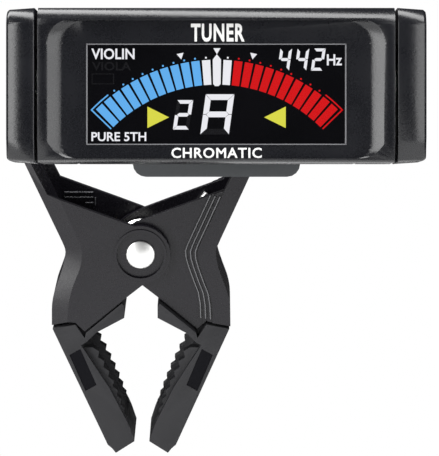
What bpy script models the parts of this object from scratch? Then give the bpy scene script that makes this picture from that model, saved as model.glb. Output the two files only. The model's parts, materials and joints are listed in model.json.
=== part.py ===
"""Clip on tuner: a bar shaped display unit between the arms of a yoke, which turns on a spring clip with toothed jaws.

+Z is up and the display faces -Y. The origin is the middle of the smooth pad at the fixed jaw's tip, which grips.
Sizes are in millimetres here and reach the meshes in metres.
"""

import math

import bmesh
import bpy
from mathutils import Matrix, Vector

MM = 0.001
GAP = 0.3  # between pieces that touch

# Display unit
CASE_HALF = 30.6
CASE_HIGH = 13.3
CASE_DEEP = 9.5
FRONT_WALL = 2.5
WALL = 1.3
SEAM = 0.15
FRONT_ROUND, BACK_ROUND = 3.0, 4.0
CHAMFER_FROM, CHAMFER_TO, CHAMFER_IN = -9.5, -12.95, 1.0
DISH_HALF, DISH_TOP, DISH_BOTTOM = 29.1, 11.15, -12.8
DISH_FLOOR_HALF, DISH_DEPTH = 26.3, 1.2
WINDOW_HALF, WINDOW_TOP, WINDOW_BOTTOM = 22.2, 6.9, -10.2
BOSS_X, BOSS_Z = 27.3, 8.2
BUTTON_Y = 3.0
BUTTON_XS = (-18.0, -6.0, 6.0, 18.0)
BUTTON_NAMES = ("mode", "pitch_down", "pitch_up", "power")
CELL_R, CELL_HALF, CELL_Y, CELL_Z = 5.25, 22.0, 2.9, -2.2
COVER_HALF, COVER_TOP = 24.2, 4.9

# Yoke
TILT = math.radians(14.0)  # the clip leans back from the display by this
CAP_IN, CAP_OUT = 31.1, 36.0
ARM_IN, ARM_OUT, ARM_R = 31.35, 33.05, 5.0
WEB_FRONT, WEB_BACK = 15.1, 17.3
APRON_HALF, APRON_LOW, APRON_R = 15.2, -19.5, 2.4
SWIVEL_C = -9.0  # the swivel axis, below the tilt axis along the web

# Clip, from the pin: a to the right, w into the depth, c towards the handles
PIN_X, PIN_Y, PIN_Z = -14.06, 26.9, -29.56
CLIP_DEEP = 14.0
CHEEK = 1.3
SPINE = 1.2
PIN_R, PIN_HEAD_R, BORE_R = 1.5, 2.68, 1.58
BOSS_R, COUNTERBORE_R = 5.5, 4.4
COIL_R, WIRE_R, COIL_FROM, COIL_TO, COIL_TURNS = 4.2, 0.5, 3.9, 10.1, 5
LEFT_LEG, RIGHT_LEG = (-15.2, 9.3), (12.15, 9.4)  # the ends of the spring's wire
ROUND_SIDES = 48
TEETH = 8
PAD_LOW, PAD_HIGH = (1.4, -36.2), (2.3, -33.4)  # the smooth gripping pad at a jaw's tip

COLOURS = {
    "case": ((0.022, 0.023, 0.026), 0.42, 0.0),
    "cap": ((0.022, 0.023, 0.026), 0.45, 0.0),
    "glass": ((0.01, 0.01, 0.012), 0.06, 0.0),
    "lcd": ((0.02, 0.02, 0.025), 0.2, 0.0),
    "white": ((0.8, 0.8, 0.78), 0.4, 0.0),
    "board": ((0.02, 0.16, 0.07), 0.4, 0.0),
    "chip": ((0.02, 0.02, 0.02), 0.5, 0.0),
    "steel": ((0.62, 0.62, 0.63), 0.22, 1.0),
    "brass": ((0.7, 0.52, 0.25), 0.3, 1.0),
    "clip": ((0.03, 0.03, 0.034), 0.38, 0.0),
    "rubber": ((0.045, 0.045, 0.047), 0.6, 0.0),
    "cell": ((0.3, 0.31, 0.33), 0.35, 0.4),
}

for leftover in list(bpy.data.objects):
    bpy.data.objects.remove(leftover, do_unlink=True)
parts = bpy.data.collections.new("clip_on_tuner")
bpy.context.scene.collection.children.link(parts)


def material(kind):
    found = bpy.data.materials.get(kind)
    if found:
        return found
    colour, roughness, metallic = COLOURS[kind]
    made = bpy.data.materials.new(kind)
    made.use_nodes = True
    surface = made.node_tree.nodes["Principled BSDF"]
    surface.inputs["Base Color"].default_value = (*colour, 1.0)
    surface.inputs["Roughness"].default_value = roughness
    surface.inputs["Metallic"].default_value = metallic
    made.diffuse_color = (*colour, 1.0)
    return made


# Planes that outlines are drawn in: the columns take (across, up, through) to X, Y, Z.
SIDE = Matrix(((0, 0, 1), (1, 0, 0), (0, 1, 0)))  # across Y, up Z, through X
FACE = Matrix(((1, 0, 0), (0, 0, 1), (0, 1, 0)))  # across X, up Z, through Y
PLAN = Matrix.Identity(3)


def object_from(bm, name):
    bmesh.ops.recalc_face_normals(bm, faces=bm.faces)
    mesh = bpy.data.meshes.new(name)
    bm.to_mesh(mesh)
    bm.free()
    made = bpy.data.objects.new(name, mesh)
    parts.objects.link(made)
    return made


def meshed(thing):
    """A curve, or a mesh with modifiers, as a plain mesh object of the same name."""
    depsgraph = bpy.context.evaluated_depsgraph_get()
    mesh = bpy.data.meshes.new_from_object(thing.evaluated_get(depsgraph))
    name, place = thing.name, thing.matrix_world.copy()
    bpy.data.objects.remove(thing, do_unlink=True)
    bm = bmesh.new()
    bm.from_mesh(mesh)
    bpy.data.meshes.remove(mesh)
    bmesh.ops.remove_doubles(bm, verts=bm.verts, dist=1e-6)
    bmesh.ops.dissolve_limit(bm, angle_limit=1e-4, verts=bm.verts, edges=bm.edges)
    made = object_from(bm, name)
    made.matrix_world = place
    return made


def moved(thing, centre, plane):
    """Shifts a mesh drawn flat, stands it in its plane, and keeps its faces outwards."""
    thing.data.transform(plane.to_4x4() @ Matrix.Translation(Vector(centre) * MM))
    if plane.determinant() < 0:
        thing.data.flip_normals()
    return thing


def outline(name, points, low, high, plane=FACE):
    """A flat outline given a thickness from low to high."""
    curve = bpy.data.curves.new(name, "CURVE")
    curve.dimensions = "2D"
    curve.fill_mode = "BOTH"
    curve.extrude = (high - low) / 2 * MM
    spline = curve.splines.new("POLY")
    spline.points.add(len(points) - 1)
    for point, (across, up) in zip(spline.points, points):
        point.co = (across * MM, up * MM, 0.0, 1.0)
    spline.use_cyclic_u = True
    drawn = bpy.data.objects.new(name, curve)
    parts.objects.link(drawn)
    solid = meshed(drawn)
    return moved(solid, (0, 0, (high + low) / 2), plane)


def box(name, low, high):
    bm = bmesh.new()
    middle = [(a + b) / 2 * MM for a, b in zip(low, high)]
    size = [(b - a) * MM for a, b in zip(low, high)]
    bmesh.ops.create_cube(bm, size=1.0)
    bmesh.ops.scale(bm, vec=size, verts=bm.verts)
    bmesh.ops.translate(bm, vec=middle, verts=bm.verts)
    return object_from(bm, name)


def cylinder(name, radius, low, high, centre=(0.0, 0.0), plane=FACE, sides=24):
    """A round bar through the plane, from low to high."""
    bm = bmesh.new()
    bmesh.ops.create_cone(
        bm, cap_ends=True, segments=sides, radius1=radius * MM, radius2=radius * MM,
        depth=(high - low) * MM,
    )
    bmesh.ops.translate(
        bm, vec=(centre[0] * MM, centre[1] * MM, (low + high) / 2 * MM), verts=bm.verts
    )
    bmesh.ops.transform(bm, matrix=plane.to_4x4(), verts=bm.verts)
    return object_from(bm, name)


def loft(name, loops):
    """A closed body through loops of equally many points in X, Y, Z."""
    bm = bmesh.new()
    rings = [[bm.verts.new(Vector(p) * MM) for p in loop] for loop in loops]
    for near, far in zip(rings, rings[1:]):
        for i in range(len(near)):
            j = (i + 1) % len(near)
            bm.faces.new((near[i], near[j], far[j], far[i]))
    bm.faces.new(rings[0])
    bm.faces.new(rings[-1])
    return object_from(bm, name)


def boolean(thing, tools, operation):
    for tool in tools:
        step = thing.modifiers.new("step", "BOOLEAN")
        step.operation = operation
        step.solver = "EXACT"
        step.object = tool
        name = thing.name
        thing = meshed(thing)
        thing.name = name
        bpy.data.objects.remove(tool, do_unlink=True)
    return thing


def cut(thing, *tools):
    return boolean(thing, tools, "DIFFERENCE")


def join(thing, *tools):
    return boolean(thing, tools, "UNION")


def arc(across, up, radius, start, end, steps):
    return [
        (
            across + radius * math.cos(math.radians(start + (end - start) * i / steps)),
            up + radius * math.sin(math.radians(start + (end - start) * i / steps)),
        )
        for i in range(steps + 1)
    ]


def finish(thing, kind, frame, sharp=40.0):
    """Gives a piece its material and its frame, and keeps it where it is."""
    thing.data.materials.clear()
    thing.data.materials.append(material(kind))
    thing.data.shade_smooth()
    thing.data.set_sharp_from_angle(angle=math.radians(sharp))
    thing.parent = frame
    return thing


def frame_at(name, place, tilt=0.0):
    made = bpy.data.objects.new(name, None)
    made.empty_display_size = 0.005
    made.location = [v * MM for v in place]
    made.rotation_euler = (tilt, 0.0, 0.0)
    parts.objects.link(made)
    return made


def leaned(across, along):
    """Y, Z of a point given along the clip's depth and its height, from the tilt axis."""
    return (
        across * math.cos(TILT) - along * math.sin(TILT),
        across * math.sin(TILT) + along * math.cos(TILT),
    )


pad_a, pad_c = ((low + high) / 2 for low, high in zip(PAD_LOW, PAD_HIGH))
pad_y, pad_z = leaned(CLIP_DEEP / 2, pad_c)
PAD = (PIN_X + pad_a, PIN_Y + pad_y, PIN_Z + pad_z)  # from the tilt axis
yoke_y, yoke_z = leaned(WEB_BACK, SWIVEL_C)
display = frame_at("display_axis", (-PAD[0], -PAD[1], -PAD[2]))
yoke = frame_at("swivel_axis", (-PAD[0], yoke_y - PAD[1], yoke_z - PAD[2]), TILT)
clip = frame_at("pin_axis", (PIN_X - PAD[0], PIN_Y - PAD[1], PIN_Z - PAD[2]), TILT)


# ---------------------------------------------------------------- display unit
def bar_profile(front, back, high, front_round, back_round, chamfer=None):
    """The bar's section in Y and Z."""
    points = arc(back - back_round, high - back_round, back_round, 0, 90, 8)
    points += arc(front + front_round, high - front_round, front_round, 90, 180, 8)
    if chamfer:
        points += [(front, chamfer[0]), (front + chamfer[2], chamfer[1])]
        points += [(front + chamfer[2] + 0.5, -high)]
    else:
        points += arc(front + 1.5, -high + 1.5, 1.5, 180, 270, 2)
    points += arc(back - back_round, -high + back_round, back_round, 270, 360, 8)
    return points


OUTER = bar_profile(
    -CASE_DEEP, CASE_DEEP, CASE_HIGH, FRONT_ROUND, BACK_ROUND, (CHAMFER_FROM, CHAMFER_TO, CHAMFER_IN)
)
HOLLOW = bar_profile(
    -CASE_DEEP + FRONT_WALL, CASE_DEEP - WALL, CASE_HIGH - WALL, 1.5, BACK_ROUND - WALL
)
SCREW_SPOTS = [(x, z) for x in (-BOSS_X, BOSS_X) for z in (-BOSS_Z, BOSS_Z)]


def shell(name, low, high):
    """The part of the hollow bar between two depths."""
    whole = outline(name, OUTER, -CASE_HALF, CASE_HALF, SIDE)
    hollow = outline("hollow", HOLLOW, -CASE_HALF + WALL, CASE_HALF - WALL, SIDE)
    span, tall = CASE_HALF + 2, CASE_HIGH + 2
    before = box("before", (-span, -CASE_DEEP - 2, -tall), (span, low, tall))
    after = box("after", (-span, high, -tall), (span, CASE_DEEP + 2, tall))
    if low < -CASE_DEEP:
        bpy.data.objects.remove(before, do_unlink=True)
        return cut(whole, after, hollow)
    bpy.data.objects.remove(after, do_unlink=True)
    return cut(whole, before, hollow)


def pivot_bore(name):
    return cylinder(name, 1.45, -CASE_HALF - 2, CASE_HALF + 2, (0, 0), SIDE)


def dish_loop(half, top, bottom, y, top_round, bottom_round):
    loop = arc(half - top_round, top - top_round, top_round, 0, 90, 4)
    loop += arc(-half + top_round, top - top_round, top_round, 90, 180, 4)
    loop += arc(-half + bottom_round, bottom + bottom_round, bottom_round, 180, 270, 4)
    loop += arc(half - bottom_round, bottom + bottom_round, bottom_round, 270, 360, 4)
    return [(x, y, z) for x, z in loop]


front_case = shell("front_case", -CASE_DEEP - 1, -SEAM)
for x, z in SCREW_SPOTS:
    front_case = join(
        front_case, cylinder("boss", 2.3, -CASE_DEEP + FRONT_WALL - 0.2, -SEAM - 0.05, (x, z))
    )
    front_case = cut(front_case, cylinder("bore", 1.25, -6.0, 1.0, (x, z), sides=16))
over = 0.4
slope = (DISH_HALF - DISH_FLOOR_HALF) / DISH_DEPTH
dish = loft(
    "dish",
    [
        dish_loop(
            DISH_HALF + over * slope, DISH_TOP + 0.04, DISH_BOTTOM - 0.04, -CASE_DEEP - over, 4.3, 2.6
        ),
        dish_loop(
            DISH_FLOOR_HALF, DISH_TOP - 0.15, DISH_BOTTOM + 0.15, -CASE_DEEP + DISH_DEPTH, 4.0, 2.3
        ),
    ],
)
opening = box(
    "opening", (-WINDOW_HALF - GAP / 2, -CASE_DEEP - 1, WINDOW_BOTTOM - GAP / 2),
    (WINDOW_HALF + GAP / 2, -5.0, WINDOW_TOP + GAP / 2),
)
front_case = cut(front_case, dish, opening, pivot_bore("bore"))
finish(front_case, "case", display)

rear_case = shell("rear_case", SEAM, CASE_DEEP + 1)
for x, z in SCREW_SPOTS:
    rear_case = join(rear_case, cylinder("boss", 2.6, SEAM + 0.05, CASE_DEEP - WALL + 0.3, (x, z)))
for x, z in SCREW_SPOTS:
    rear_case = cut(
        rear_case, cylinder("bore", 1.25, -1.0, CASE_DEEP + 1, (x, z), sides=16),
        cylinder("head", 2.1, CASE_DEEP - 2.0, CASE_DEEP + 1, (x, z)),
    )
rear_case = cut(
    rear_case,
    pivot_bore("bore"),
    box("bay", (-COVER_HALF - GAP, 7.7, -15.0), (COVER_HALF + GAP, 11.0, COVER_TOP + GAP)),
    box("bay", (-COVER_HALF - GAP, 2.0, -15.0), (COVER_HALF + GAP, 11.0, -11.7)),
    box("bay", (-COVER_HALF - GAP, 5.4, -15.0), (COVER_HALF + GAP, 11.0, -8.9)),
)
for x in BUTTON_XS:
    rear_case = cut(
        rear_case,
        box("slot", (x - 3.7, BUTTON_Y - 1.5, CASE_HIGH - 3), (x + 3.7, BUTTON_Y + 1.5, CASE_HIGH + 1)),
    )
finish(rear_case, "case", display)

inner_round = BACK_ROUND - WALL
cover = [(2.3, -CASE_HIGH)]
cover += arc(CASE_DEEP - BACK_ROUND, -CASE_HIGH + BACK_ROUND, BACK_ROUND, 270, 360, 8)
cover += [(CASE_DEEP, COVER_TOP), (CASE_DEEP - WALL, COVER_TOP)]
cover += arc(CASE_DEEP - BACK_ROUND, -CASE_HIGH + BACK_ROUND, inner_round, 360, 270, 8)
cover += [(2.3, -CASE_HIGH + WALL)]
finish(outline("battery_cover", cover, -COVER_HALF, COVER_HALF, SIDE), "case", display)

window = box(
    "display_window", (-WINDOW_HALF, -8.35, WINDOW_BOTTOM), (WINDOW_HALF, -7.35, WINDOW_TOP)
)
finish(window, "glass", display)
finish(box("lcd_panel", (-23.0, -6.7, -10.5), (23.0, -5.3, 7.6)), "lcd", display)
frame_ring = box("lcd_frame", (-24.0, -6.7, -11.2), (24.0, -4.15, 8.5))
frame_ring = cut(frame_ring, box("inside", (-23.3, -8.0, -10.8), (23.3, -3.0, 7.9)))
finish(frame_ring, "white", display)
finish(box("light_guide", (-23.0, -5.0, -10.5), (23.0, -4.2, 7.6)), "white", display)
finish(box("circuit_board", (-24.2, -3.85, -11.6), (24.2, -2.85, 10.6)), "board", display)
finish(box("processor_chip", (-9.0, -2.55, 4.2), (-2.5, -1.6, 10.2)), "chip", display)
finish(box("piezo_sensor", (4.0, -2.55, -11.4), (17.0, -1.95, -8.0)), "brass", display)
finish(box("button_board", (-22.5, 0.7, 7.2), (22.5, 5.9, 8.0)), "board", display)


def stepped(name, x, y, steps):
    """A block of stacked rectangles: half width, half depth, height."""
    loops = []
    for half_x, half_y, z in steps:
        loops.append(
            [
                (x + sx * half_x, y + sy * half_y, z)
                for sx, sy in ((-1, -1), (1, -1), (1, 1), (-1, 1))
            ]
        )
    return loft(name, loops)


SWITCH = ((2.4, 1.8, 8.3), (2.4, 1.8, 9.8), (1.0, 0.9, 9.8), (1.0, 0.9, 10.3))
BUTTON = (
    (4.2, 2.0, 11.0), (4.2, 2.0, 11.8), (3.4, 1.2, 11.8), (3.4, 1.2, CASE_HIGH + 0.3),
    (3.1, 0.9, CASE_HIGH + 0.5),
)
for name, x in zip(BUTTON_NAMES, BUTTON_XS):
    finish(stepped(f"{name}_switch", x, BUTTON_Y, SWITCH), "chip", display)
    button_frame = frame_at(f"{name}_button_axis", (x, BUTTON_Y, CASE_HIGH))
    button = stepped(f"{name}_button", x, BUTTON_Y, BUTTON)
    button.data.transform(Matrix.Translation((-x * MM, -BUTTON_Y * MM, -CASE_HIGH * MM)))
    finish(button, "case", button_frame)
    button_frame.parent = display


def turned(name, profile, centre, plane, sides=24):
    """A turned piece: radius and height pairs down its outer side, then back on the axis."""
    mesh = bpy.data.meshes.new(name)
    bm = bmesh.new()
    drawn = [bm.verts.new((r * MM, 0.0, h * MM)) for r, h in profile]
    for near, far in zip(drawn, drawn[1:]):
        bm.edges.new((near, far))
    bm.to_mesh(mesh)
    bm.free()
    thing = bpy.data.objects.new(name, mesh)
    parts.objects.link(thing)
    turn = thing.modifiers.new("turn", "SCREW")
    turn.steps = turn.render_steps = sides
    turn.use_merge_vertices = True
    turn.merge_threshold = 1e-5
    solid = meshed(thing)
    return moved(solid, (*centre, 0), plane)


CELL = (
    (0.0, CELL_HALF + 0.5), (1.9, CELL_HALF + 0.5), (1.9, CELL_HALF - 0.4), (CELL_R - 0.4, CELL_HALF - 0.4),
    (CELL_R, CELL_HALF - 0.8), (CELL_R, -CELL_HALF + 0.4), (CELL_R - 0.4, -CELL_HALF), (0.0, -CELL_HALF),
)
finish(turned("battery_cell", CELL, (CELL_Y, CELL_Z), SIDE), "cell", display)
plate = box("contact_plate", (22.9, CELL_Y - 3.6, CELL_Z - 3.0), (23.4, CELL_Y + 3.6, CELL_Z + 3.0))
finish(plate, "steel", display)


def wire(name, points, radius, kind, frame):
    curve = bpy.data.curves.new(name, "CURVE")
    curve.dimensions = "3D"
    curve.bevel_depth = radius * MM
    curve.bevel_resolution = 2
    curve.use_fill_caps = True
    spline = curve.splines.new("POLY")
    spline.points.add(len(points) - 1)
    for point, place in zip(spline.points, points):
        point.co = (*[v * MM for v in place], 1.0)
    drawn = bpy.data.objects.new(name, curve)
    parts.objects.link(drawn)
    return finish(meshed(drawn), kind, frame)


TURNS = 3.5
coil = []
for i in range(int(TURNS * 12) + 1):
    angle = 2 * math.pi * i / 12
    radius = 3.2 - 1.4 * i / (TURNS * 12)
    coil.append(
        (-25.6 + 3.0 * i / (TURNS * 12), CELL_Y + radius * math.cos(angle), CELL_Z + radius * math.sin(angle))
    )
wire("contact_spring", coil, 0.25, "steel", display)

SCREW = ((0.0, 9.1), (1.5, 9.1), (1.85, 8.8), (1.85, 7.8), (1.0, 7.8), (1.0, -5.6), (0.0, -5.6))
screws = [turned("case_screws", SCREW, spot, FACE, 16) for spot in SCREW_SPOTS]
for index, screw in enumerate(screws):
    finish(screw, "steel", display)
    screw.name = f"case_screw_{index + 1}"

for side, sign in (("left", -1), ("right", 1)):
    turn_side = SIDE if sign > 0 else Matrix.Rotation(math.pi, 3, "Z") @ SIDE
    nut = cut(
        cylinder(f"{side}_pivot_nut", 2.5, 27.0, 28.9, plane=turn_side, sides=6),
        cylinder("bore", 1.28, 26.0, 30.0, plane=turn_side),
    )
    finish(nut, "brass", display)
    washer = cut(
        cylinder(f"{side}_pivot_washer", 3.2, CASE_HALF + 0.15, ARM_IN - 0.15, plane=turn_side),
        cylinder("bore", 1.35, 30.0, 32.0, plane=turn_side),
    )
    finish(washer, "white", display)
    screw = turned(
        f"{side}_pivot_screw",
        (
            (0.0, ARM_OUT + 1.2), (2.3, ARM_OUT + 1.2), (2.7, ARM_OUT + 0.8), (2.7, ARM_OUT + 0.2),
            (1.22, ARM_OUT + 0.2), (1.22, 26.6), (0.0, 26.6),
        ),
        (0, 0), turn_side,
    )
    finish(screw, "steel", display)

# ---------------------------------------------------------------- yoke
def arm_outline(extra, end):
    """A round end about the tilt axis, run back along the clip's depth."""
    lean = math.degrees(TILT)
    points = arc(0, 0, ARM_R + extra, 90 + lean, 270 + lean, 10)
    points += [leaned(end, -ARM_R - extra), leaned(end, ARM_R + extra)]
    return points


web = [(-ARM_OUT + 0.15, 4.8), (-ARM_OUT + 0.15, -4.3), (-APRON_HALF - 2.0, -4.8)]
web += arc(-APRON_HALF - 2.0, -6.8, 2.0, 90, 0, 3)[1:]
web += arc(-APRON_HALF + APRON_R, APRON_LOW + APRON_R, APRON_R, 180, 270, 4)
web += [(-x, c) for x, c in reversed(web)]
yoke_bracket = outline("yoke_bracket", web, WEB_FRONT, WEB_BACK)
yoke_bracket.data.transform(Matrix.Rotation(TILT, 4, "X"))
for sign in (-1, 1):
    low, high = sorted((sign * ARM_IN, sign * ARM_OUT))
    yoke_bracket = join(yoke_bracket, outline("arm", arm_outline(0.0, WEB_BACK - 0.1), low, high, SIDE))
swivel_bore = cylinder("bore", BORE_R, WEB_FRONT - 2, WEB_BACK + 2, (0, SWIVEL_C))
swivel_sink = cylinder("sink", 3.3, WEB_FRONT - 2, WEB_FRONT + 1.2, (0, SWIVEL_C))
for tool in (swivel_bore, swivel_sink):
    tool.data.transform(Matrix.Rotation(TILT, 4, "X"))
yoke_bracket = cut(
    yoke_bracket, swivel_bore, swivel_sink, cylinder("bore", 1.31, -40, 40, plane=SIDE)
)
TO_SWIVEL = Matrix.Translation((0, -WEB_BACK * MM, -SWIVEL_C * MM)) @ Matrix.Rotation(-TILT, 4, "X")
yoke_bracket.data.transform(TO_SWIVEL)
finish(yoke_bracket, "cap", yoke)

for side, sign in (("left", -1), ("right", 1)):
    loops = []
    for x, inset in ((CAP_IN, 0.0), (CAP_OUT - 0.45, 0.3), (CAP_OUT, 0.65)):
        shrink = [1 - inset / CASE_DEEP, 1 - inset / CASE_HIGH]
        loops.append([(sign * x, y * shrink[0], z * shrink[1]) for y, z in OUTER])
    cap = loft(f"{side}_end_cap", loops)
    near, far = sorted((sign * (CAP_IN - 1), sign * (ARM_OUT + GAP)))
    slot = outline("slot", arm_outline(GAP, 20.0), near, far, SIDE)
    near, far = sorted((sign * ARM_IN, sign * (ARM_OUT + 1.6)))
    cap = cut(cap, slot, cylinder("head", 3.3, near, far, plane=SIDE))
    cap.data.transform(TO_SWIVEL)
    finish(cap, "cap", yoke)


# ---------------------------------------------------------------- clip
CLIP_C = -PIN_Y * math.sin(TILT) + PIN_Z * math.cos(TILT)
CLIP_W = PIN_Y * math.cos(TILT) + PIN_Z * math.sin(TILT)
SWIVEL = (-PIN_X, SWIVEL_C - CLIP_C)  # the swivel axis in the clip's a and c

# The moving lever's outer edge from the handle's end down to the boot, and where its bevel meets the cheek.
LEVER_EDGE = (
    (-24.1, 26.5), (-23.9, 23.2), (-21.25, 17.2), (-18.45, 11.0), (-14.25, 1.7), (-13.8, 0.4),
    (-14.35, -2.45), (-15.3, -5.2), (-16.15, -7.45), (-16.6, -9.7), (-16.65, -13.8),
)
BEVEL_EDGE = (
    (-22.4, 25.3), (-22.3, 23.0), (-19.7, 16.8), (-14.8, 10.6), (-11.0, 1.9), (-10.7, 0.2),
    (-11.1, -2.5), (-12.3, -5.2), (-13.0, -7.4), (-13.5, -9.7), (-13.7, -12.9),
)
LEVER_LOW = ((-12.2, -13.0), (-10.5, -14.7), (-3.7, -9.0))
LEVER_HIGH = ((0.0, 6.1), (-4.7, 7.9), (-15.45, 11.9), (-18.05, 17.2), (-20.7, 23.2), (-20.9, 26.5))
CHEEK_TOP = (-17.1, 11.28)  # where the moving lever's front cheek meets its spine
JAW_CORE = (
    (-16.1, -9.0), (-15.0, -9.0), (-12.6, -12.6), (-12.95, -16.2), (-7.4, -25.7), (-5.0, -31.5),
    (-6.4, -31.5), (-14.6, -15.2), (-14.9, -13.2), (-16.0, -12.2),
)
BOOT_POCKET = (
    (-14.9, -12.0), (-12.3, -12.0), (-12.65, -16.2), (-7.05, -25.7), (-4.65, -31.6), (-4.8, -31.9),
    (-6.6, -31.9), (-14.92, -15.3), (-15.2, -13.6),
)
BOOT_EDGE = (
    (-16.45, -14.2), (-16.1, -15.0), (-6.4, -36.9), (-5.6, -37.6), (-4.9, -38.5),
    (-PAD_LOW[0], PAD_LOW[1]), (-PAD_HIGH[0], PAD_HIGH[1]), (-2.8, -32.2),
    (-6.0, -25.7), (-11.2, -17.4), (-10.2, -16.8),
)
BOOT_WING = (
    (-8.4, -15.0), (-3.1, -12.1), (-3.1, -9.75), (-3.55, -9.35), (-10.25, -15.0), (-10.5, -16.0), (-12.2, -13.4),
)
TEETH_BACK = ((-11.4, -18.2), (-3.8, -33.0), (-3.0, -33.4))
TEETH_FROM, TEETH_TO = 1.3, 3.3  # a row of teeth, from a jaw's side


def mirrored(points, sign):
    return [(-sign * a, c) for a, c in points]


def eased(points, reach=1.2, steps=2):
    """A line with each of its corners swept round over a short reach."""
    line = [Vector(point) for point in points]
    out = [points[0]]
    for before, corner, after in zip(line, line[1:], line[2:]):
        start = corner + (before - corner).normalized() * min(reach, (before - corner).length * 0.45)
        end = corner + (after - corner).normalized() * min(reach, (after - corner).length * 0.45)
        for i in range(steps + 1):
            t = i / steps
            out.append(tuple(start * (1 - t) ** 2 + corner * 2 * t * (1 - t) + end * t**2))
    return out + [points[-1]]


def lever_outline(edge, sign):
    """A lever's side view, with the round eye about the pin."""
    eye = arc(0, 0, BOSS_R, -82, 68, 16)
    return mirrored(eased(edge) + list(LEVER_LOW) + eye + list(LEVER_HIGH), sign)


def inside(edge, offset, sign, top=30.0):
    """What lies further in than a lever's edge moved in by offset."""
    points = [(edge[0][0] + offset, top)]
    points += [(a + offset * 1.08, c) for a, c in eased(edge)]
    points += [(edge[-1][0] + offset, -16.0), (12.0, -16.0), (12.0, top)]
    return mirrored(points, sign)


def jaw_core(sign):
    return outline("core", mirrored(JAW_CORE, sign), 2.0, CLIP_DEEP - 2.0)


# The moving lever is on the left, its cheeks outside; its edges are bevelled back.
bevel = 1.2
loops = []
for depth, edge in ((0.0, BEVEL_EDGE), (bevel, LEVER_EDGE), (CLIP_DEEP - bevel, LEVER_EDGE), (CLIP_DEEP, BEVEL_EDGE)):
    loops.append([(a, depth, c) for a, c in lever_outline(edge, -1)])
moving_lever = loft("moving_lever", loops)
channel = outline("channel", inside(LEVER_EDGE, SPINE, -1), CHEEK, CLIP_DEEP - CHEEK)
# The front cheek stops at a straight edge from the spine to the eye.
above = [CHEEK_TOP] + [(a + SPINE * 1.08, c) for a, c in reversed(LEVER_EDGE[1:3])]
above += [(LEVER_EDGE[0][0] + SPINE * 1.08, 30.0), (8.0, 30.0), (8.0, 5.2)]
above += arc(0, 0, BOSS_R, 68, 101.5, 4)
moving_lever = cut(moving_lever, channel, outline("above", above, -1.0, CHEEK + 0.1))
moving_lever = join(
    moving_lever,
    jaw_core(-1),
    cylinder("lip", 4.85, -0.35, 0.5, sides=ROUND_SIDES),
    cylinder("lip", 4.85, CLIP_DEEP - 0.5, CLIP_DEEP + 0.35, sides=ROUND_SIDES),
)
moving_lever = cut(
    moving_lever,
    cylinder("eye", BORE_R, -2.0, CLIP_DEEP + 2.0),
    cylinder("counterbore", COUNTERBORE_R, -2.0, 0.45, sides=ROUND_SIDES),
    cylinder("counterbore", COUNTERBORE_R, CLIP_DEEP - 0.45, CLIP_DEEP + 2.0, sides=ROUND_SIDES),
)
finish(moving_lever, "clip", clip)

# The fixed lever is on the right, its cheeks recessed between the other's.
rim, recess = 0.3, 1.7
fixed_lever = outline("fixed_lever", lever_outline(LEVER_EDGE, 1), rim, CLIP_DEEP - rim)
for offset, deep in ((3.1, 0.8), (3.95, 1.3), (4.8, recess)):
    fixed_lever = cut(
        fixed_lever,
        outline("recess", inside(LEVER_EDGE, offset, 1), -1.0, deep),
        outline("recess", inside(LEVER_EDGE, offset, 1), CLIP_DEEP - deep, CLIP_DEEP + 1.0),
    )
channel = outline("channel", inside(LEVER_EDGE, SPINE, 1), recess + 1.2, CLIP_DEEP - recess - 1.2)
fixed_lever = cut(fixed_lever, channel)
pad = arc(SWIVEL[0], SWIVEL[1], 6.6, 40, 180, 8)
pad += [(8.6, 20.0), (11.0, 17.4), (20.0, 17.0), (22.4, 23.4), (22.4, 26.3)]
fixed_lever = join(fixed_lever, jaw_core(1), outline("pad", pad, 1.3, 3.2))
fixed_lever = cut(fixed_lever, cylinder("eye", BORE_R, -2.0, CLIP_DEEP + 2.0))
MOUNT_SPOTS = [(SWIVEL[0] + da, SWIVEL[1] + dc) for da, dc in ((-3.6, -2.6), (3.6, 2.6))]
for spot in [SWIVEL] + MOUNT_SPOTS:
    fixed_lever = cut(
        fixed_lever, cylinder("bore", BORE_R if spot == SWIVEL else 0.9, 0.5, 4.5, spot, sides=24)
    )
finish(fixed_lever, "clip", clip)


def boot(name, sign):
    """A rubber shoe with smooth side strips, two rows of teeth between them and a pocket for the lever's end."""
    teeth = []
    for i in range(TEETH):
        along = i / (TEETH - 1)
        tip = (-7.9 + 6.9 * along - 1.7 * along**2, -18.9 - 13.9 * along + 0.9 * along**2)
        depth = 1.25 - 0.6 * along
        teeth += [(tip[0] - depth, tip[1] + 0.75), tip]
    pad = list(reversed(teeth)) + list(TEETH_BACK)
    shoe = outline(name, mirrored(BOOT_EDGE + BOOT_WING, sign), 0.0, CLIP_DEEP)
    for low, high in ((TEETH_FROM, TEETH_TO), (CLIP_DEEP - TEETH_TO, CLIP_DEEP - TEETH_FROM)):
        shoe = join(shoe, outline("row", mirrored(pad, sign), low, high))
    return cut(shoe, outline("pocket", mirrored(BOOT_POCKET, sign), 1.7, CLIP_DEEP - 1.7))


finish(boot("moving_jaw_boot", -1), "rubber", clip)
finish(boot("fixed_jaw_boot", 1), "rubber", clip)

PIN = (
    (0.0, 0.1), (2.4, 0.1), (PIN_HEAD_R, -0.1), (PIN_HEAD_R, -0.4), (PIN_R, -0.4),
    (PIN_R, -CLIP_DEEP + 0.1), (0.0, -CLIP_DEEP + 0.1),
)
pivot_pin = turned("pivot_pin", PIN, (0, 0), PLAN, ROUND_SIDES)
pivot_pin.data.transform(Matrix.Rotation(math.pi / 2, 4, "X"))
finish(pivot_pin, "steel", clip)
ring = cut(
    cylinder("pin_ring", 3.2, CLIP_DEEP - 0.4, CLIP_DEEP + 0.1),
    cylinder("bore", BORE_R, CLIP_DEEP - 2, CLIP_DEEP + 2),
)
finish(ring, "steel", clip)

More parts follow.
